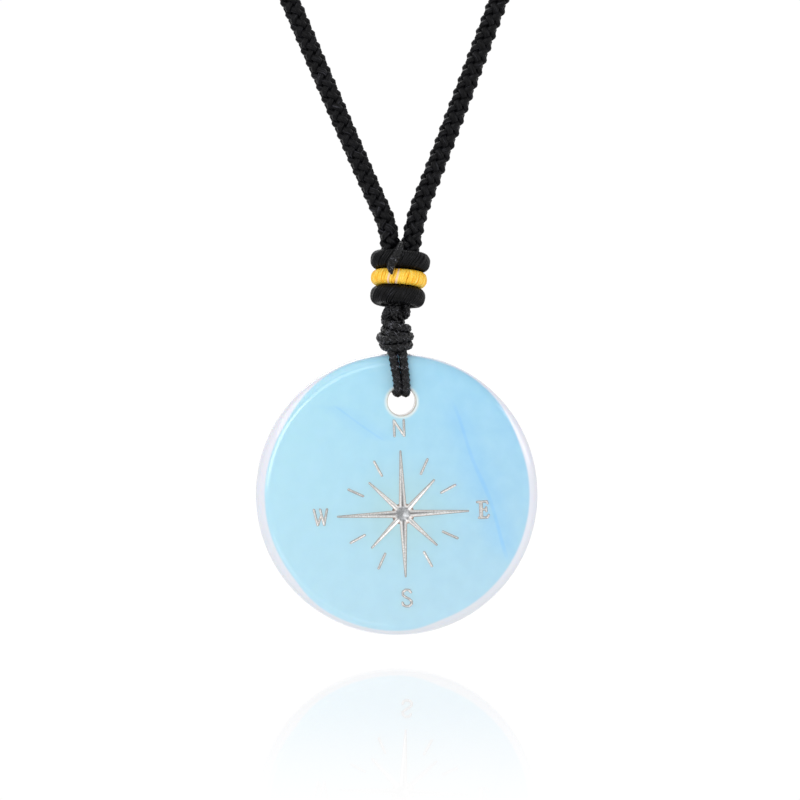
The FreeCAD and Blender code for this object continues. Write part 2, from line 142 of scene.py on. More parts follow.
# name, place from the hole in mm, width and height in mm, watts
SOFTBOXES = [
    ("key_softbox", (-260, -300, 330), (400, 400), 0.75),
    ("strip_softbox", (-132, -500, 93), (400, 110), 0.42),
    ("left_strip", (-142, -500, -12), (240, 100), 0.24),
    ("side_softbox", (420, -300, 160), (220, 240), 0.5),
    ("back_softbox", (-60, 380, 300), (300, 300), 0.8),
]
for name, place, (wide, high), watts in SOFTBOXES:
    lamp = bpy.data.lights.new(name, "AREA")
    lamp.shape = "RECTANGLE"
    lamp.size = wide * MM
    lamp.size_y = high * MM
    lamp.energy = watts
    softbox = bpy.data.objects.new(name, lamp)
    away = Vector(place).normalized()
    softbox.location = hole + Vector(place) * MM
    softbox.rotation_mode = "QUATERNION"
    # The height points away from the view axis, so that a strip lies across the way to the object.
    outwards = Vector((place[0], 0.0, place[2]))
    height = (outwards - away * outwards.dot(away)).normalized()
    width = height.cross(away)
    softbox.rotation_quaternion = Matrix((width, height, away)).transposed().to_quaternion()
    softbox.visible_camera = False
    scene.collection.objects.link(softbox)

TABLE_BELOW_HOLE = 26.8 * MM
TABLE_HALF = 3.0
table_z = hole.z - TABLE_BELOW_HOLE
table_mesh = bpy.data.meshes.new("table_top")
corners = [(-1, -1), (1, -1), (1, 1), (-1, 1)]
table_mesh.from_pydata([(x * TABLE_HALF, y * TABLE_HALF, table_z) for x, y in corners], [], [(0, 1, 2, 3)])
table = bpy.data.objects.new("table_top", table_mesh)
scene.collection.objects.link(table)

# White lacquered board: the polish is worn towards the front edge, so the mirror image fades there.
POLISH_WORN = 130 * MM
POLISH_WHOLE = 40 * MM
lacquer, tree = new_material("white_lacquered_board")
place = add(tree, "ShaderNodeTexCoord")
depth = add(tree, "ShaderNodeSeparateXYZ", {0: place.outputs["Object"]}).outputs["Y"]
polish = ramp(tree, depth, hole.y - POLISH_WORN, hole.y - POLISH_WHOLE, 0.04, 0.28, "SMOOTHSTEP")
white = add(tree, "ShaderNodeEmission", {"Color": linear("#FFFFFF"), "Strength": SEEN_WHITE})
gloss = add(tree, "ShaderNodeBsdfGlossy", {"Color": linear("#FFFFFF"), "Roughness": 0.02})
mixed = add(tree, "ShaderNodeMixShader", {0: polish, 1: white.outputs[0], 2: gloss.outputs[0]})
add(tree, "ShaderNodeOutputMaterial", {"Surface": mixed.outputs[0]})
table_mesh.materials.append(lacquer)
table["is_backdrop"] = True

# The disc: opal glass, a milky glass that scatters blue, cut 4 mm thick and tumbled until the rim
# is round and every face is polished. The hanging hole is drilled near the rim.
disc_low, disc_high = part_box("opal_disc")
disc_centre = (disc_low + disc_high) / 2
DISC_RADIUS = (disc_high.x - disc_low.x) / 2 / MM
DISC_HALF = (disc_high.y - disc_low.y) / 2 / MM
to_hole = hole - disc_centre
DISC_LEAN = math.atan2(to_hole.x, to_hole.z)
HOLE_REACH = to_hole.length / MM
HOLE_RADIUS = 1.5
HOLE_ROUND = 0.24
HOLE_STEPS = 8
HOLE_TURNS = 72
SHOULDER_WIDE = 1.7
SHOULDER_DEEP = 1.05
SHOULDER_POWER = 2.15
SHOULDER_STEPS = 12
RIM_TURNS = 224
FLAT_INSET = 0.15
# How far the cutters of the marks and of the hole stand out past the face.
CUT_PAST_FACE = 0.3
BORE_PAST_FACE = 0.5
# An edge sharper than this stays sharp, and a face that looks so nearly along Y is shaded flat.
SHARP_ANGLE = math.radians(28)
FLAT_NORMAL = 0.99999
disc_frame = Matrix.Translation(disc_centre) @ Matrix.Rotation(DISC_LEAN, 4, "Y") @ Matrix.Scale(MM, 4)


def turned(profile, turns, centre=(0.0, 0.0)):
    """A closed mesh turned about the disc's own Y axis from (radius, depth) pairs, in millimetres."""
    made = bmesh.new()
    rings = []
    for radius, depth in profile:
        ring = []
        for step in range(turns):
            angle = 2 * math.pi * step / turns
            ring.append(made.verts.new((
                centre[0] + radius * math.cos(angle),
                depth,
                centre[1] + radius * math.sin(angle),
            )))
        rings.append(ring)
    for near, far in zip(rings, rings[1:]):
        for step in range(turns):
            after = (step + 1) % turns
            made.faces.new((near[step], near[after], far[after], far[step]))
    made.faces.new(reversed(rings[0]))
    made.faces.new(rings[-1])
    bmesh.ops.recalc_face_normals(made, faces=made.faces)
    return made


def as_object(name, made):
    """An object that holds the bmesh."""
    mesh = bpy.data.meshes.new(name)
    made.to_mesh(mesh)
    made.free()
    held = bpy.data.objects.new(name, mesh)
    scene.collection.objects.link(held)
    return held


def cut_away(body, cutter):
    """Cuts the cutter out of the body and throws the cutter away. Either may overlap itself."""
    cut = body.modifiers.new("cut", "BOOLEAN")
    cut.operation = "DIFFERENCE"
    cut.solver = "EXACT"
    cut.use_self = True
    cut.object = cutter
    graph = bpy.context.evaluated_depsgraph_get()
    mesh = bpy.data.meshes.new_from_object(body.evaluated_get(graph))
    body.modifiers.remove(cut)
    body.data = mesh
    bpy.data.objects.remove(cutter)
    return body


# The profile from the flat of the face out round the shoulder, then the same again for the back.
front_side = [(DISC_RADIUS - SHOULDER_WIDE - FLAT_INSET, -DISC_HALF)]
for step in range(SHOULDER_STEPS + 1):
    angle = math.pi / 2 * step / SHOULDER_STEPS
    out = math.sin(angle) ** (2 / SHOULDER_POWER)
    fall = 1 - math.cos(angle) ** (2 / SHOULDER_POWER)
    front_side.append((DISC_RADIUS - SHOULDER_WIDE * (1 - out), -DISC_HALF + SHOULDER_DEEP * fall))
back_side = [(radius, -depth) for radius, depth in reversed(front_side)]
disc = as_object("opal_disc_glass", turned(front_side + back_side, RIM_TURNS))

hole_side = [(HOLE_RADIUS + HOLE_ROUND, -DISC_HALF - BORE_PAST_FACE)]
for step in range(HOLE_STEPS + 1):
    depth = HOLE_ROUND * (1 - math.cos(math.pi / 2 * step / HOLE_STEPS))
    inset = math.sqrt(HOLE_ROUND ** 2 - (HOLE_ROUND - depth) ** 2)
    hole_side.append((HOLE_RADIUS + HOLE_ROUND - inset, -DISC_HALF + depth))
hole_side += [(radius, -depth) for radius, depth in reversed(hole_side)]
cut_away(disc, as_object("hole_cutter", turned(hole_side, HOLE_TURNS, (0.0, HOLE_REACH))))

# The compass rose: engraved strokes of V section, rubbed full of silver paint that keeps the V.
# The strokes are in millimetres from the rose's centre, x to the right and z up.
ROSE_CENTRE = Vector((0.70, 0.0, -1.97))
ROSE_TURN = math.radians(-5.1)
rose_in_disc = Matrix.Translation(ROSE_CENTRE) @ Matrix.Rotation(ROSE_TURN, 4, "Y")
GROOVE_DEEP = 0.35
# The paint keeps clear of the groove, and the cutter of its V is a little wider than the paint.
PAINT_BELOW_FACE = 0.03
PAINT_SIDE_GAP = 0.005
PAINT_ABOVE_BED = 0.01
V_SLOPE = 0.6
V_PAST_SIDE = 0.012
LETTER_HALF = 0.13
TICK_HALF = 0.13
# How far a tick's ends are from the centre, and its angle from the nearest long point.
TICK_ENDS = (4.66, 6.34)
TICK_ANGLE = 26.5
# The points in turn from north: reach, and half the width at the centre and at the tip.
SPIKES = [(6.66, 0.44, 0.10), (4.86, 0.33, 0.11), (6.94, 0.44, 0.10), (4.86, 0.33, 0.11)]
# The hub: its groove's radius, where the points' V sections start, and its bowl's radius and slope.
# The groove and the bowl are short strokes of unlike size and turn: with equal ones the cut that makes
# the paint lost a point of the star.
HUB_HALF = 1.15
HUB_STROKE = ((-0.1, 0.0), (0.1, 0.0))
HUB_RADIUS = 0.34
HUB_BOWL = (1.12, 0.19)
BOWL_STROKE = ((-0.02, -0.07), (0.02, 0.07))
# Each letter's middle, x and z, and its strokes from there: x and z of the start and of the end.
LETTERS = {
    "letter_n": (-0.06, 9.13, [
        (-0.50, -0.82, -0.50, 0.82),
        (-0.50, 0.82, 0.54, -0.82),
        (0.54, -0.82, 0.54, 0.82),
    ]),
    "letter_e": (8.53, 0.05, [
        (-0.29, -0.82, -0.29, 0.86),
        (-0.14, -0.82, -0.14, 0.86),
        (-0.60, 0.86, 0.42, 0.88),
        (0.42, 0.88, 0.50, 0.68),
        (-0.14, 0.05, 0.32, 0.05),
        (0.33, 0.24, 0.35, -0.14),
        (-0.46, -0.82, 0.42, -0.82),
        (0.42, -0.82, 0.58, -0.58),
    ]),
    "letter_s": (0.06, -8.97, [
        (0.42, 0.60, 0.24, 0.84),
        (0.24, 0.84, -0.12, 0.87),
        (-0.12, 0.87, -0.42, 0.67),
        (-0.42, 0.67, -0.44, 0.36),
        (-0.44, 0.36, -0.18, 0.11),
        (-0.18, 0.11, 0.18, -0.08),
        (0.18, -0.08, 0.45, -0.34),
        (0.45, -0.34, 0.45, -0.64),
        (0.45, -0.64, 0.18, -0.87),
        (0.18, -0.87, -0.16, -0.88),
        (-0.16, -0.88, -0.42, -0.74),
        (-0.42, -0.74, -0.50, -0.48),
    ]),
    "letter_w": (-8.76, 0.03, [
        (-0.68, 0.80, -0.34, -0.82),
        (-0.34, -0.82, 0.04, 0.10),
        (-0.02, 0.80, 0.34, -0.82),
        (0.34, -0.82, 0.70, 0.80),
    ]),
}
CAP_STEPS = 6


def add_stroke(made, start, end, halves, low, high, v_slope=None):
    """Adds one closed stroke with round ends to the bmesh: flat-bottomed, or with a V below low."""
    start, end = Vector(start), Vector(end)
    heading = math.atan2(end.y - start.y, end.x - start.x)
    outline = []
    owners = []
    for owner, (middle, half, first) in enumerate(((end, halves[1], -90), (start, halves[0], 90))):
        for step in range(CAP_STEPS + 1):
            angle = heading + math.radians(first + 180 * step / CAP_STEPS)
            outline.append((middle.x + half * math.cos(angle), middle.y + half * math.sin(angle)))
            owners.append(owner)
    top = [made.verts.new((x, high, z)) for x, z in outline]
    bottom = [made.verts.new((x, low, z)) for x, z in outline]
    count = len(outline)
    faces = [made.faces.new(top)]
    for here in range(count):
        after = (here + 1) % count
        faces.append(made.faces.new((top[here], bottom[here], bottom[after], top[after])))
    if v_slope is None:
        faces.append(made.faces.new(list(reversed(bottom))))
    else:
        ridge = [
            made.verts.new((middle.x, low + v_slope * half, middle.y))
            for middle, half in ((end, halves[1]), (start, halves[0]))
        ]
        for here in range(count):
            after = (here + 1) % count
            corner = [bottom[here], ridge[owners[here]]]
            if owners[here] != owners[after]:
                corner.append(ridge[owners[after]])
            faces.append(made.faces.new(corner + [bottom[after]]))
    return faces


def star_strokes(hub):
    """The star's eight points as strokes. Each starts so far out that its round root leaves the hub."""
    star = []
    for point in range(8):
        reach, root, tip = SPIKES[point % 4]
        turn = math.radians(45 * point)
        start = hub + root if hub else 0.0
        ends = [(out * math.sin(turn), out * math.cos(turn)) for out in (start, reach)]
        star.append((*ends, (root + (tip - root) * start / reach, tip)))
    if not hub:
        star.append((*HUB_STROKE, (HUB_HALF, HUB_HALF)))
    return star


def mark_strokes():
    """Every mark's name and its strokes (start, end, half widths)."""
    marks = {"rose_star": star_strokes(0.0)}
    for number in range(8):
        side = TICK_ANGLE if number % 2 == 0 else -TICK_ANGLE
        turn = math.radians(90 * (number // 2) + side)
        ends = [(reach * math.sin(turn), reach * math.cos(turn)) for reach in TICK_ENDS]
        marks[f"tick_{number + 1}"] = [(*ends, (TICK_HALF, TICK_HALF))]
    for name, (x, z, strokes) in LETTERS.items():
        marks[name] = [
            ((x + x0, z + z0), (x + x1, z + z1), (LETTER_HALF, LETTER_HALF))
            for x0, z0, x1, z1 in strokes
        ]
    return marks


face = -DISC_HALF
all_marks = mark_strokes()


def strokes_object(name, strokes, shrink, low, high, v_slope=None):
    """One object that holds all the strokes, each narrower by shrink on each side."""
    made = bmesh.new()
    for start, end, halves in strokes:
        kept = tuple(half - shrink for half in halves)
        add_stroke(made, start, end, kept, low, high, v_slope)
    bmesh.ops.recalc_face_normals(made, faces=made.faces)
    made.transform(rose_in_disc)
    return as_object(name, made)


every_stroke = [stroke for strokes in all_marks.values() for stroke in strokes]
cut_away(disc, strokes_object("groove_cutter", every_stroke, 0.0, face + GROOVE_DEEP, face - CUT_PAST_FACE))
disc.data.transform(disc_frame)
disc.data.shade_smooth()
disc.data.set_sharp_from_angle(angle=SHARP_ANGLE)
for polygon in disc.data.polygons:
    if abs(polygon.normal.y) > FLAT_NORMAL:
        polygon.use_smooth = False


def calc(tree, operation, *values):
    """The result of one math node."""
    return add(tree, "ShaderNodeMath", dict(enumerate(values)), operation=operation).outputs[0]


def vector_calc(tree, operation, *values):
    """The result of one vector math node: a number for a length or the like, or else a vector."""
    inputs = {0: values[0]}
    if len(values) > 1:
        inputs["Scale" if operation == "SCALE" else 1] = values[1]
    made = add(tree, "ShaderNodeVectorMath", inputs, operation=operation)
    return made.outputs["Value" if operation in ("LENGTH", "DISTANCE", "DOT_PRODUCT") else "Vector"]


def blend(tree, share, first, second, **settings):
    """The colour that two colours give, by the share of the second."""
    inputs = {"Factor": share, "A": first, "B": second}
    return add(tree, "ShaderNodeMix", inputs, data_type="RGBA", **settings).outputs[2]


def place_on_disc(tree):
    """The shaded point in mm from the disc's middle: x across its face, y into it and z up it."""
    return add(tree, "ShaderNodeMapping", {
        "Vector": add(tree, "ShaderNodeTexCoord").outputs["Object"],
        "Location": disc_centre,
        "Rotation": (0.0, DISC_LEAN, 0.0),
        "Scale": (MM, MM, MM),
    }, vector_type="TEXTURE").outputs[0]


# Opal glass: milky and pale blue over white light, with a pale lavender band painted on the round rim
# for the light it lets in from the side and the white room it reflects, faint flow lines from the pour,
# and a warm tint in the drilled hole.
opal, tree = new_material("poured_opal_glass")
parts = add(tree, "ShaderNodeSeparateXYZ", {0: place_on_disc(tree)})
across = parts.outputs["X"]
up = parts.outputs["Z"]
flat = add(tree, "ShaderNodeCombineXYZ", {"X": across, "Z": up}).outputs[0]
radius = vector_calc(tree, "LENGTH", flat)
bearing = vector_calc(tree, "NORMALIZE", flat)

# The milky body: bluer towards the upper right, paler below, a little greener on the left.
upwards = ramp(tree, up, -13.0, 13.0)
leftwards = ramp(tree, across, 12.0, -13.0)
right_side = blend(tree, upwards, linear("#AFD4E4"), linear("#96CCE9"))
left_side = blend(tree, upwards, linear("#B3DAE9"), linear("#ABDCEB"))
milk = blend(tree, leftwards, right_side, left_side)

# Round the rose the paint's grey shows through the milk.
from_rose = vector_calc(tree, "DISTANCE", flat, ROSE_CENTRE)
rose_glow = ramp(tree, from_rose, 0.5, 7.5, 0.55, 0.0, "SMOOTHERSTEP")
milk = blend(tree, rose_glow, milk, linear("#AED2D6"))

# Two flow lines from the pour, each a thin blue seam with a soft blue side: the place of the line
# (across = start + slope x up), its span of height, the soft side's width and how strong it is. Each
# line wanders by up to half of FLOW_WANDER, and fades beyond the inner FLOW_WHOLE of its span.
FLOW_LINES = [
    (9.48, -0.397, (-7.0, 10.8), 2.8, 1.0),
    (7.32, -1.59, (5.5, 9.4), 3.0, 0.6),
]
FLOW_WANDER = 1.6
FLOW_WHOLE = 0.7
wander = add(tree, "ShaderNodeTexNoise", {"Vector": flat, "Scale": 0.14, "Detail": 0.0}).outputs[0]
for start, slope, (lowest, highest), soft_side, strength in FLOW_LINES:
    straight = calc(tree, "MULTIPLY_ADD", up, slope, start)
    bent = calc(tree, "MULTIPLY_ADD", wander, FLOW_WANDER, straight)
    centred = calc(tree, "SUBTRACT", bent, FLOW_WANDER / 2)
    away = calc(tree, "ABSOLUTE", calc(tree, "SUBTRACT", across, centred))
    seam = ramp(tree, away, 0.05, 0.5, 0.85, 0.0, "SMOOTHSTEP")
    halo = ramp(tree, away, 0.0, soft_side, 0.42, 0.0, "SMOOTHSTEP")
    middle, half = (lowest + highest) / 2, (highest - lowest) / 2
    reach = calc(tree, "ABSOLUTE", calc(tree, "SUBTRACT", up, middle))
    fade = ramp(tree, reach, half * FLOW_WHOLE, half, strength, 0.0, "SMOOTHSTEP")
    shown = calc(tree, "MULTIPLY", calc(tree, "MAXIMUM", seam, halo), fade)
    milk = blend(tree, shown, milk, linear("#8CC6EE"))

# Fine clouding in the milk.
clouds = add(tree, "ShaderNodeTexNoise", {"Vector": flat, "Scale": 0.6, "Detail": 4.0}).outputs[0]
milk = blend(tree, ramp(tree, clouds, 0.35, 0.7, 0.0, 0.16), milk, linear("#C2EAF7"))

# Painted light on the round rim: a pale lavender band, lighter towards the top, for the light the rim
# lets in and the white room it reflects. It is widest at the sides, gone at the top, narrow at the foot.
top_share = vector_calc(tree, "DOT_PRODUCT", bearing, (0.03, 0.0, 1.0))
foot_share = vector_calc(tree, "DOT_PRODUCT", bearing, (-0.22, 0.0, -0.975))
top_narrows = ramp(tree, top_share, 0.40, 0.95, 14.07, 14.85, "SMOOTHSTEP")
foot_narrows = ramp(tree, foot_share, 0.80, 0.97, 0.0, 0.40, "SMOOTHSTEP")
painted_rim_light_starts = calc(tree, "ADD", top_narrows, foot_narrows)
painted_rim_light = ramp(tree, calc(tree, "SUBTRACT", radius, painted_rim_light_starts), -0.12, 0.14, ease="SMOOTHSTEP")
painted_rim_light_colour = blend(tree, upwards, linear("#D8DBE1"), linear("#ECECF6"))
milk = blend(tree, painted_rim_light, milk, painted_rim_light_colour)

# The drilled hole: a chalky edge, and a tan bore where the drill's grit stayed in.
from_hole = vector_calc(tree, "DISTANCE", flat, (0.0, 0.0, HOLE_REACH))
milk = blend(tree, ramp(tree, from_hole, 1.58, 1.98, 0.95, 0.0, "SMOOTHSTEP"), milk, linear("#E4EBEA"))
milk = blend(tree, ramp(tree, from_hole, 1.51, 1.57, 1.0, 0.0), milk, linear("#BDAF9B"))
glass = add(tree, "ShaderNodeBsdfPrincipled", {
    "Base Color": milk,
    "Roughness": 0.09,
    "IOR": 1.5,
    "Subsurface Weight": 0.2,
    "Subsurface Radius": (0.8, 1.4, 2.2),
    "Subsurface Scale": 1.0 * MM,
})
add(tree, "ShaderNodeOutputMaterial", {"Surface": glass.outputs[0]})
disc.data.materials.append(opal)
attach(disc, "disc")
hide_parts("opal_disc")

# Silver paint: aluminium flake in lacquer. It is bright on the flanks of the V with painted highlights, dark
# at the bottom of the V with painted shade, and brownish at the edge where the thin paint lets the burnt
# glass show.
FLAKE_MM = 0.12
silver, tree = new_material("silver_flake_paint")
on_disc = place_on_disc(tree)
depth = add(tree, "ShaderNodeSeparateXYZ", {0: on_disc}).outputs["Y"]
sunk = ramp(tree, depth, face + PAINT_BELOW_FACE, face + GROOVE_DEEP - 0.05)
# The colour by depth: brownish at the edge, a painted highlight on the flanks and painted shade at the bottom
# of the V.
depth_film_and_painted_light = add(tree, "ShaderNodeValToRGB", {0: sunk})
depth_film_and_painted_light.color_ramp.elements[0].color = linear("#92867F")
depth_film_and_painted_light.color_ramp.elements[1].color = linear("#6E6C6D")
for at, colour in ((0.10, "#B0A49E"), (0.24, "#F2F0EE"), (0.5, "#E2E2E2"), (0.75, "#A8A7A7")):
    depth_film_and_painted_light.color_ramp.elements.new(at).color = linear(colour)
flakes = add(tree, "ShaderNodeTexNoise", {
    "Vector": on_disc, "Scale": 1 / FLAKE_MM, "Detail": 1.0,
}).outputs[0]
grain = blend(tree, ramp(tree, flakes, 0.3, 0.7), linear("#A39B96"), linear("#FFFFFF"))
from_hub = vector_calc(tree, "DISTANCE", on_disc, (ROSE_CENTRE.x, face, ROSE_CENTRE.z))
on_hub = ramp(tree, from_hub, 0.68, 0.90, 1.0, 0.0, "SMOOTHSTEP")
film_hub_and_painted_light = blend(tree, on_hub, depth_film_and_painted_light.outputs[0], linear("#A0A3A6"))
tinted = blend(tree, 0.6, film_hub_and_painted_light, grain, blend_type="MULTIPLY")
pebbled = add(tree, "ShaderNodeBump", {"Height": flakes, "Strength": 0.5, "Distance": 0.03 * MM})
paint = add(tree, "ShaderNodeBsdfPrincipled", {
    "Base Color": tinted,
    "Metallic": 0.75,
    "Roughness": 0.3,
    "Normal": pebbled.outputs[0],
})
add(tree, "ShaderNodeOutputMaterial", {"Surface": paint.outputs[0]})

paint_top = face + PAINT_BELOW_FACE
paint_bed = face + GROOVE_DEEP - PAINT_ABOVE_BED
past_face = face - CUT_PAST_FACE
for name, strokes in all_marks.items():
    fill = strokes_object(f"{name}_paint", strokes, PAINT_SIDE_GAP, paint_bed, paint_top)
    if name == "rose_star":
        strokes = star_strokes(HUB_RADIUS)
        bowl_half, bowl_slope = HUB_BOWL
        bowl = [(*BOWL_STROKE, (bowl_half, bowl_half))]
        cut_away(fill, strokes_object("hub_bowl", bowl, 0.0, paint_top, past_face, bowl_slope))
    cut_away(fill, strokes_object(f"{name}_v", strokes, -V_PAST_SIDE, paint_top, past_face, V_SLOPE))
    fill.data.transform(disc_frame)
    fill.data.materials.append(silver)
    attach(fill, "disc")
    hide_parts(name)


# The hanger: one thin braided cord, black waxed polyester, 0.9 mm across. It is doubled, goes through
# the hole from front to back, and is tied above the disc in a knot of two doubled turns. Its ends run
# up through the wound rings: one stub sticks out below them, and one tail lies on their front. Points
# are in mm from the hole, and a fourth number is the share of the full thickness there.
HANGER_STITCH = 0.56
# x of each strand at the knot and in the hole
HANGER_STRANDS = [
    (-0.98, -0.425),
    (0.10, 0.425),
]
STRAND_ROUTE = [
    (0.0, -0.4, 6.9),
    (0.0, -1.5, 6.35),
    (-0.05, -2.25, 5.5),
    (0.17, -2.64, 4.3),
    (0.75, -2.64, 2.7),
    (1.0, -2.62, 1.5),
    (1.0, -2.2, 0.9),
    (1.0, -1.0, 0.98),
    (1.0, 1.0, 0.98),
    (1.0, 2.2, 0.9),
    (1.0, 2.62, 1.5),
    (0.75, 2.64, 2.7),
    (0.25, 2.64, 4.3),
    (0.05, 2.25, 5.5),
    (0.0, 1.5, 6.35),
    (0.0, 0.4, 6.9),
]
# The knot's doubled cord, from the rings down: the stem, the band across the front, round behind, the
# low turns across the front, and in. Each row ends with half the pair's spread, across and up.
KNOT_ROUTE = [
    (0.02, 0.2, 11.2, 0.45, 0.0),
    (0.05, 0.0, 10.0, 0.45, 0.0),
    (0.20, 0.0, 9.1, 0.38, 0.15),
    (0.25, 0.9, 8.7, 0.15, 0.36),
    (-0.70, 1.5, 8.4, 0.0, 0.40),
    (-1.60, 0.7, 8.25, 0.0, 0.46),
    (-1.76, -0.8, 7.95, 0.05, 0.50),
    (-0.85, -1.95, 7.55, 0.0, 0.46),
    (0.35, -1.7, 7.35, 0.0, 0.40),
    (0.75, 0.1, 7.35, 0.0, 0.36),
    (0.30, 1.5, 7.1, 0.0, 0.38),
    (-1.10, 1.8, 6.8, 0.0, 0.38),
    (-2.00, 0.8, 6.55, -0.10, 0.38),
    (-2.00, -1.0, 6.22, -0.22, 0.38),
    (-1.30, -2.50, 6.10, -0.10, 0.42),
    (-0.10, -2.62, 6.24, 0.0, 0.46),
    (0.85, -1.6, 6.42, 0.08, 0.46),
    (0.80, 0.5, 6.5, 0.0, 0.42),
    (0.30, 1.9, 6.4, 0.0, 0.40),
    (-0.90, 2.0, 6.4, 0.0, 0.40),
    (-1.20, 0.9, 6.5, 0.0, 0.40),
    (-0.50, 0.0, 6.6, 0.0, 0.40),
]
# The second doubled length, which comes down beside the stem and into the knot from the left.
UPPER_LOOP = [
    (-0.62, -0.2, 11.2, 0.34, 0.0),
    (-0.72, -0.7, 10.2, 0.36, 0.05),
    (-1.12, -0.9, 9.65, 0.38, 0.12),
    (-1.33, -0.8, 9.1, 0.38, 0.05),
    (-1.18, -0.3, 8.55, 0.36, -0.10),
    (-0.60, 0.1, 8.25, 0.30, -0.10),
]
# One end's stub below the rings, and the other end's tail on the front of the upper ring.
STUB = [
    (0.45, -0.6, 11.0, 0.8),
    (0.55, -0.9, 10.3, 0.8),
    (0.68, -1.0, 9.7, 0.7),
    (0.60, -1.0, 9.3, 0.3),
]
TAIL = [
    (0.05, 0.3, 16.7, 0.7),
    (-0.10, -0.9, 16.3, 0.9),
    (-0.50, -1.95, 15.5, 0.95),
    (-1.10, -2.25, 14.6, 1.0),
    (-1.25, -2.42, 14.0, 0.8),
    (-1.03, -2.45, 13.5, 0.15),
]


def smooth_route(name, routes):
    """A NURBS curve through space with one spline for each list of points, in metres."""
    curve = bpy.data.curves.new(name, "CURVE")
    curve.dimensions = "3D"
    curve.resolution_u = 12
    for points in routes:
        spline = curve.splines.new("NURBS")
        spline.points.add(len(points) - 1)
        for held, point in zip(spline.points, points):
            held.co = (*point[:3], 1.0)
            held.radius = point[3] if len(point) > 3 else 1.0
        spline.order_u = 3
        spline.use_endpoint_u = True
    route = bpy.data.objects.new(name, curve)
    scene.collection.objects.link(route)
    return route


def new_geometry_tree(name, sockets):
    """A geometry tree with the named inputs, and the outputs of its input node."""
    made = bpy.data.node_groups.new(name, "GeometryNodeTree")
    made.interface.new_socket("Geometry", in_out="OUTPUT", socket_type="NodeSocketGeometry")
    for label, kind in (("Geometry", "Geometry"), *sockets):
        made.interface.new_socket(label, in_out="INPUT", socket_type=f"NodeSocket{kind}")
    return made, add(made, "NodeGroupInput").outputs


def marked_section(made, sides):
    """A circle one unit across, on which each point keeps its place as yarn_section."""
    circle = add(made, "GeometryNodeCurvePrimitiveCircle", {"Resolution": sides, "Radius": 0.5})
    return add(made, "GeometryNodeStoreNamedAttribute", {
        "Geometry": circle.outputs[0],
        "Name": "yarn_section",
        "Value": add(made, "GeometryNodeInputPosition").outputs[0],
    }, data_type="FLOAT_VECTOR").outputs[0]


def end_with_tube(made, line, section, scale, finish):
    """Ends the tree with the section swept along the line: closed, smooth, real and in its material."""
    tube = add(made, "GeometryNodeCurveToMesh", {
        "Curve": line, "Profile Curve": section, "Fill Caps": True, "Scale": scale,
    })
    round_look = add(made, "GeometryNodeSetShadeSmooth", {"Geometry": tube.outputs[0]})
    real = add(made, "GeometryNodeRealizeInstances", {"Geometry": round_look.outputs[0]})
    dressed = add(made, "GeometryNodeSetMaterial", {"Geometry": real.outputs[0], "Material": finish})
    add(made, "NodeGroupOutput", {"Geometry": dressed.outputs[0]})


def braid_tree():
    """Yarns of one hand of a round braid, four of them, laid over and under along a route."""
    made, given = new_geometry_tree("round_braid_yarns", (
        ("Hand", "Float"), ("Stitch", "Float"), ("Core Radius", "Float"), ("Over And Under", "Float"),
        ("Yarn Width", "Float"), ("Yarn Thickness", "Float"), ("Rings Per Stitch", "Int"),
        ("Sides", "Int"), ("Finish", "Material"),
    ))
    step = calc(made, "DIVIDE", given["Stitch"], given["Rings Per Stitch"])
    even = add(made, "GeometryNodeResampleCurve", {"Curve": given["Geometry"], "Length": step}, mode="LENGTH")
    yarns = add(made, "GeometryNodeDuplicateElements", {
        "Geometry": even.outputs[0], "Amount": 4,
    }, domain="SPLINE")
    along = add(made, "GeometryNodeSplineParameter").outputs["Length"]
    stitches = calc(made, "DIVIDE", along, given["Stitch"])
    walked = calc(made, "MULTIPLY", stitches, given["Hand"])
    quarters = calc(made, "ADD", walked, yarns.outputs["Duplicate Index"])
    outwards = add(made, "ShaderNodeVectorRotate", {
        "Vector": add(made, "GeometryNodeInputNormal").outputs[0],
        "Axis": add(made, "GeometryNodeInputTangent").outputs[0],
        "Angle": calc(made, "MULTIPLY", quarters, math.pi / 2),
    })
    kept = add(made, "GeometryNodeCaptureAttribute", {"Geometry": yarns.outputs["Geometry"]})
    kept.capture_items.new("VECTOR", "Outwards")
    kept.capture_items.new("FLOAT", "Along")
    kept.capture_items.new("FLOAT", "Share")
    made.links.new(outwards.outputs[0], kept.inputs["Outwards"])
    made.links.new(along, kept.inputs["Along"])
    made.links.new(add(made, "GeometryNodeInputRadius").outputs[0], kept.inputs["Share"])
    wave = calc(made, "COSINE", calc(made, "MULTIPLY", stitches, 2 * math.pi))
    signed = calc(made, "MULTIPLY", wave, given["Hand"])
    lift = calc(made, "MULTIPLY_ADD", signed, given["Over And Under"], given["Core Radius"])
    thinned = calc(made, "MULTIPLY", lift, kept.outputs["Share"])
    offset = vector_calc(made, "SCALE", kept.outputs["Outwards"], thinned)
    laid = add(made, "GeometryNodeSetPosition", {"Geometry": kept.outputs["Geometry"], "Offset": offset})
    facing = add(made, "GeometryNodeSetCurveNormal", {"Curve": laid.outputs[0]}, mode="FREE")
    made.links.new(kept.outputs["Outwards"], facing.inputs["Normal"])
    marked = add(made, "GeometryNodeStoreNamedAttribute", {
        "Geometry": facing.outputs[0], "Name": "yarn_along", "Value": kept.outputs["Along"],
    })
    section_size = add(made, "ShaderNodeCombineXYZ", {
        "X": given["Yarn Thickness"], "Y": given["Yarn Width"], "Z": 1.0,
    })
    section = add(made, "GeometryNodeTransform", {
        "Geometry": marked_section(made, given["Sides"]), "Scale": section_size.outputs[0],
    })
    end_with_tube(made, marked.outputs[0], section.outputs[0], kept.outputs["Share"], given["Finish"])
    return made


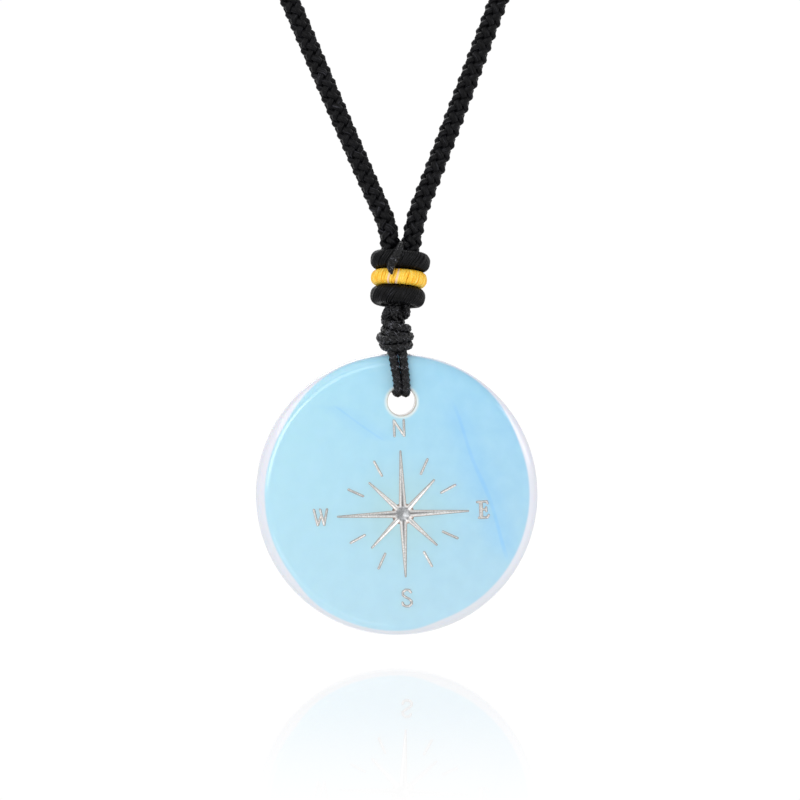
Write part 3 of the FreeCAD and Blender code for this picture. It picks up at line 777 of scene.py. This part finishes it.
def grown(name, source, made, **values):
    """The plain mesh that a node tree makes of the source object, as a piece of its own."""
    modifier = source.modifiers.new(made.name, "NODES")
    modifier.node_group = made
    for item in made.interface.items_tree:
        label = item.name.lower().replace(" ", "_")
        if item.in_out == "INPUT" and label in values:
            modifier[item.identifier] = values[label]
    graph = bpy.context.evaluated_depsgraph_get()
    mesh = bpy.data.meshes.new_from_object(source.evaluated_get(graph), depsgraph=graph)
    source.modifiers.remove(modifier)
    mesh.name = name
    piece = bpy.data.objects.new(name, mesh)
    scene.collection.objects.link(piece)
    return piece


def yarn_finish(name, shaded_hollow, lit_crest, painted_glint, filament_mm, streak_mm, roughness, specular, bump):
    """A yarn of fine filaments: painted shade in the hollows of its relief, painted light on the crests and a
    few painted highlights (glints) that run along it.
    """
    made, tree = new_material(name)
    across = add(tree, "ShaderNodeAttribute", attribute_name="yarn_section").outputs["Vector"]
    along = add(tree, "ShaderNodeAttribute", attribute_name="yarn_along").outputs["Fac"]
    run = calc(tree, "MULTIPLY", along, 1 / (streak_mm * MM))
    lengthwise = add(tree, "ShaderNodeCombineXYZ", {"Z": run}).outputs[0]
    spot = vector_calc(tree, "ADD", vector_calc(tree, "SCALE", across, 1 / filament_mm), lengthwise)
    filaments = add(tree, "ShaderNodeTexNoise", {
        "Vector": spot, "Scale": 1.0, "Detail": 3.0, "Roughness": 0.6,
    }).outputs[0]
    # Painted shade darkens the low parts of the filament relief and painted light lifts its crests; the
    # glints are painted highlights.
    lit_crest_share = ramp(tree, filaments, 0.36, 0.68, ease="SMOOTHSTEP")
    painted_glint_share = ramp(tree, filaments, 0.59, 0.72, ease="SMOOTHSTEP")
    painted_shade_and_light = blend(tree, lit_crest_share, linear(shaded_hollow), linear(lit_crest))
    colour = blend(tree, painted_glint_share, painted_shade_and_light, linear(painted_glint))
    relief = add(tree, "ShaderNodeBump", {"Height": filaments, "Strength": bump, "Distance": 0.05 * MM})
    fibre = add(tree, "ShaderNodeBsdfPrincipled", {
        "Base Color": colour,
        "Roughness": roughness,
        "Specular IOR Level": specular,
        "Normal": relief.outputs[0],
    })
    add(tree, "ShaderNodeOutputMaterial", {"Surface": fibre.outputs[0]})
    return made


# Waxed polyester braid: black, smooth filaments, with a soft satin glint painted along each yarn as
# highlights and painted shade in its hollows. A filament is 0.02 mm, too fine to show, so the streaks are a
# few times as coarse.
waxed = yarn_finish(
    "black_waxed_polyester", "#040405", "#141417", "#8C8C96", filament_mm=0.16, streak_mm=0.5,
    roughness=0.33, specular=0.2, bump=0.8,
)

braid = braid_tree()
hanger_routes = []
for knot_x, hole_x in HANGER_STRANDS:
    hanger_routes.append([(knot_x + (hole_x - knot_x) * share, y, z) for share, y, z in STRAND_ROUTE])
for pair in (KNOT_ROUTE, UPPER_LOOP):
    for side in (-1, 1):
        hanger_routes.append([(x + side * wide, y, z + side * high) for x, y, z, wide, high in pair])
hanger_routes += [STUB, TAIL]
hanger_line = smooth_route("hanger_route", [
    [(*(hole + Vector(point[:3]) * MM), *point[3:]) for point in route] for route in hanger_routes
])
for hand, letter in ((1.0, "s"), (-1.0, "z")):
    yarns = grown(
        f"hanger_cord_yarns_{letter}", hanger_line, braid,
        hand=hand, stitch=HANGER_STITCH * MM, core_radius=0.29 * MM, over_and_under=0.065 * MM,
        yarn_width=0.44 * MM, yarn_thickness=0.33 * MM, rings_per_stitch=6, sides=6, finish=waxed,
    )
    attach(yarns, "cords")
    if hand > 0:
        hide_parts("hanger_cord")
bpy.data.objects.remove(hanger_line)

# The neck cord: 2.1 mm round braid of eight plump black polyester yarns, one whole loop. Its two ends
# are gripped in the rings, the weight pulls its V straight, and the rest goes round the neck.
NECK_ROUTE = [
    (1.66, -130.95, -197.94),
    (2.56, -129.87, -191.5),
    (-0.53, -128.92, -185.13),
    (-19.9, -121.6, -138.9),
    (-41.5, -109.1, -89.0),
    (-59.5, -90.2, -47.0),
    (-68.8, -68.5, -24.5),
    (-69.5, -46.0, -13.0),
    (-60.0, -25.0, -6.0),
    (-43.0, -10.0, -2.0),
    (-22.0, -2.0, -0.5),
    (0.0, 1.05, 0.0),
    (22.0, -2.0, -0.5),
    (43.0, -10.0, -2.0),
    (60.0, -25.0, -6.0),
    (69.5, -46.0, -13.0),
    (69.3, -68.5, -24.5),
    (61.2, -90.2, -47.0),
    (43.9, -109.1, -89.0),
    (23.9, -121.6, -138.9),
    (7.03, -128.58, -183.11),
    (3.75, -129.85, -191.0),
    (3.66, -130.95, -198.09),
]
NECK_STITCH = 1.42
neck_line = smooth_route("neck_route", [[Vector(point) * MM for point in NECK_ROUTE]])

# Bulked polyester yarn: black, with a dull sheen painted in as lighter crests and glints, and painted shade
# that makes it matt between the lobes. Its streaks are coarser than its 0.02 mm filaments, so that they show.
bulked = yarn_finish(
    "black_bulked_polyester", "#020203", "#101013", "#36363C", filament_mm=0.2, streak_mm=1.2,
    roughness=0.42, specular=0.10, bump=0.8,
)
for hand, letter in ((1.0, "s"), (-1.0, "z")):
    yarns = grown(
        f"neck_cord_yarns_{letter}", neck_line, braid,
        hand=hand, stitch=NECK_STITCH * MM, core_radius=0.63 * MM, over_and_under=0.18 * MM,
        yarn_width=0.78 * MM, yarn_thickness=0.70 * MM, rings_per_stitch=7, sides=7, finish=bulked,
    )
    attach(yarns, "cords")
    if hand > 0:
        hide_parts("neck_cord")
bpy.data.objects.remove(neck_line)

# The three rings: polyester thread wound turn beside turn round a flat band, black, golden yellow and
# black. They are stacked on the cords, pushed tight, and grip the neck cord's ends with the thin cord.
STACK_FOOT = Vector((-0.40, 0.0, 10.14))
STACK_TILT = math.radians(4.2)
STACK_NOD = math.radians(-9.0)
RING_GAP = 0.03
RING_DEPTH = 5.2
CROWN_DEPTH = 0.9
BORE_SIDE = -0.12
THREAD_MM = 0.36
# name, width over the ring, height, turns of thread, slant of a turn in mm
WOUND_RINGS = [
    ("wrap_ring_lower", 5.9, 2.0, 60, 0.42),
    ("wrap_ring_middle", 6.0, 1.75, 56, 0.16),
    ("wrap_ring_upper", 6.4, 2.0, 62, 0.40),
]
ROUTE_STEPS = 96
stack_frame = (
    Matrix.Translation(hole + STACK_FOOT * MM) @ Matrix.Rotation(STACK_TILT, 4, "Y")
    @ Matrix.Rotation(STACK_NOD, 4, "X") @ Matrix.Scale(MM, 4)
)
stack_up = (stack_frame.to_3x3() @ Vector((0.0, 0.0, 1.0))).normalized()


def winding_tree():
    """One thread wound turn beside turn round a band that follows a closed flat route."""
    made, given = new_geometry_tree("wound_thread", (
        ("Turns", "Int"), ("Points Per Turn", "Int"), ("Band Depth", "Float"), ("Band Height", "Float"),
        ("Corner", "Float"), ("Slant", "Float"), ("Thread", "Float"), ("Uneven", "Float"),
        ("Sides", "Int"), ("Up", "Vector"), ("Seed", "Int"), ("Finish", "Material"),
    ))
    route_length = add(made, "GeometryNodeCurveLength", {"Curve": given["Geometry"]}).outputs[0]
    thread = add(made, "GeometryNodeResampleCurve", {
        "Curve": add(made, "GeometryNodeCurvePrimitiveLine").outputs[0],
        "Count": calc(made, "MULTIPLY", given["Turns"], given["Points Per Turn"]),
    }, mode="COUNT")
    factor = add(made, "GeometryNodeSplineParameter").outputs["Factor"]
    turned_so_far = calc(made, "MULTIPLY", factor, given["Turns"])
    number = calc(made, "FLOOR", turned_so_far)
    angle = calc(made, "MULTIPLY", turned_so_far, 2 * math.pi)
    # A turn starts inside the bore, where the step from one turn's jitter to the next is hidden.
    sides = []
    for operation, sign in (("COSINE", -1.0), ("SINE", 1.0)):
        wave = calc(made, operation, angle)
        squared = calc(made, "POWER", calc(made, "ABSOLUTE", wave), given["Corner"])
        side = calc(made, "MULTIPLY", squared, calc(made, "SIGN", wave))
        sides.append(calc(made, "MULTIPLY", side, sign))
    # A turn's section is a D: its side towards the bore is flat.
    outward_share = calc(made, "MAXIMUM", sides[0], BORE_SIDE)
    upward_share = sides[1]
    jitters = []
    for salt in (0, 1):
        seed = calc(made, "ADD", given["Seed"], float(salt))
        jitter = add(made, "FunctionNodeRandomValue", {"ID": number, "Seed": seed, 2: -1.0, 3: 1.0})
        jitters.append(calc(made, "MULTIPLY", jitter.outputs[1], given["Uneven"]))
    walked = calc(made, "MULTIPLY", factor, route_length)
    slanted = calc(made, "MULTIPLY_ADD", upward_share, given["Slant"], walked)
    shifted = calc(made, "ADD", slanted, jitters[0])
    spot = add(made, "GeometryNodeSampleCurve", {
        "Curves": given["Geometry"], "Length": calc(made, "WRAP", shifted, route_length, 0.0),
    }, mode="LENGTH")
    outwards = vector_calc(made, "CROSS_PRODUCT", spot.outputs["Tangent"], given["Up"])
    centred = spot.outputs["Position"]
    for way, share, span, jitter in (
        (outwards, outward_share, given["Band Depth"], jitters[1]),
        (given["Up"], upward_share, given["Band Height"], 0.0),
    ):
        room_left = calc(made, "SUBTRACT", span, given["Thread"])
        half_span = calc(made, "MULTIPLY_ADD", room_left, 0.5, jitter)
        moved = vector_calc(made, "SCALE", way, calc(made, "MULTIPLY", half_span, share))
        centred = vector_calc(made, "ADD", centred, moved)
    wound = add(made, "GeometryNodeSetPosition", {"Geometry": thread.outputs[0], "Position": centred})
    numbered = add(made, "GeometryNodeStoreNamedAttribute", {
        "Geometry": wound.outputs[0],
        "Name": "turn_share",
        "Value": calc(made, "DIVIDE", number, given["Turns"]),
    })
    measured = add(made, "GeometryNodeStoreNamedAttribute", {
        "Geometry": numbered.outputs[0],
        "Name": "yarn_along",
        "Value": add(made, "GeometryNodeSplineParameter").outputs["Length"],
    })
    section = marked_section(made, given["Sides"])
    end_with_tube(made, measured.outputs[0], section, given["Thread"], given["Finish"])
    return made


# Black polyester thread: satin, with its shine painted in as highlight streaks along each turn and painted
# shade in the hollows.
black_thread = yarn_finish(
    "black_polyester_thread", "#020203", "#0D0D0F", "#34343A", filament_mm=0.3, streak_mm=0.8,
    roughness=0.36, specular=0.11, bump=0.7,
)
# Golden thread: dyed polyester, made orange in the hollows by painted shade and lemon on the crests by
# painted light, with painted highlights.
golden_thread = yarn_finish(
    "golden_polyester_thread", "#FFBA22", "#FFE560", "#FFF0A8", filament_mm=0.4, streak_mm=0.7,
    roughness=0.45, specular=0.4, bump=0.3,
)
# Two stray turns of pale pink thread show among the golden ones: their share of the turns, half the
# width of one in turns, and how much of the pink shows.
STRAY_TURNS = (0.668, 0.722)
STRAY_HALF = 0.55
STRAY_STRENGTH = 0.7
GOLDEN_TURNS = WOUND_RINGS[1][3]
tree = golden_thread.node_tree
golden_fibre = next(node for node in tree.nodes if node.type == "BSDF_PRINCIPLED")
# The colour so far holds the dye with its painted shade and highlights; the stray turns' pink is dye.
dye_and_painted_light = golden_fibre.inputs["Base Color"].links[0].from_socket
share = add(tree, "ShaderNodeAttribute", attribute_name="turn_share").outputs["Fac"]
for stray_share in STRAY_TURNS:
    is_stray = calc(tree, "COMPARE", share, stray_share, STRAY_HALF / GOLDEN_TURNS)
    dye_and_painted_light = blend(tree, calc(tree, "MULTIPLY", is_stray, STRAY_STRENGTH), dye_and_painted_light, linear("#F0D3C8"))
tree.links.new(dye_and_painted_light, golden_fibre.inputs["Base Color"])
winding = winding_tree()
lift = 0.0
for number, (name, over, height, turns, slant) in enumerate(WOUND_RINGS):
    level = lift + height / 2
    half_x = over / 2 - CROWN_DEPTH
    half_y = RING_DEPTH / 2 - CROWN_DEPTH
    straight = half_x - half_y
    route_points = []
    for step in range(ROUTE_STEPS):
        angle = 2 * math.pi * step / ROUTE_STEPS
        side = math.copysign(straight, math.cos(angle)) if abs(math.cos(angle)) > 1e-9 else 0.0
        route_points.append(stack_frame @ Vector((
            side + half_y * math.cos(angle), half_y * math.sin(angle), level,
        )))
    ring_line = smooth_route(f"{name}_route", [route_points])
    ring_line.data.splines[0].use_endpoint_u = False
    ring_line.data.splines[0].use_cyclic_u = True
    wound = grown(
        f"{name}_thread", ring_line, winding,
        turns=turns, points_per_turn=22, band_depth=2 * CROWN_DEPTH * MM, band_height=height * MM,
        corner=0.82, slant=slant * MM, thread=THREAD_MM * MM, uneven=0.035 * MM, sides=6,
        up=stack_up, seed=number, finish=golden_thread if name == "wrap_ring_middle" else black_thread,
    )
    bpy.data.objects.remove(ring_line)
    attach(wound, "cords")
    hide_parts(name)
    lift += height + RING_GAP

low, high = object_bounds()
